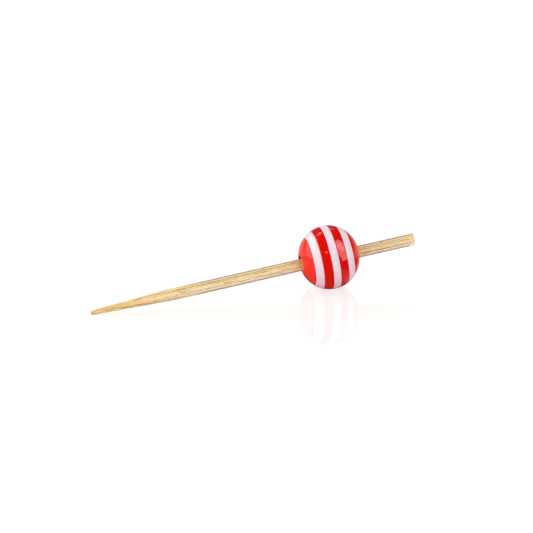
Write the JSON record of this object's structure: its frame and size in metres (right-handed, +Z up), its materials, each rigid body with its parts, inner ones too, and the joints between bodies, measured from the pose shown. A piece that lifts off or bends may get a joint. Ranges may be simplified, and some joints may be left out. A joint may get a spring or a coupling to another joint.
{
  "type": "cocktail pick",
  "caption": "Short bamboo cocktail pick with a slender ground point, a square-cut end and a round red and white striped resin bead.",
  "frame": {"origin": "middle of the footprint, on the surface that the pick lies on", "axes": "+X along the pick from its point towards its cut end, which is tipped up; +Z up; the wide flat of the stick faces -Y and up"},
  "size_m": [0.062, 0.012, 0.012],
  "materials": {
    "bamboo": "split and ground bamboo, dry, unvarnished",
    "red_resin": "polished to a high gloss",
    "white_resin": "polished to a high gloss, slightly milky"
  },
  "bodies": {
    "root": {"stick": "bamboo", "red_cap_point_side": "red_resin", "white_band_point_side": "white_resin", "red_band_point_side": "red_resin", "white_band_middle": "white_resin", "red_band_cut_side": "red_resin", "white_band_cut_side": "white_resin", "red_cap_cut_side": "red_resin"}
  },
  "joints": []
}
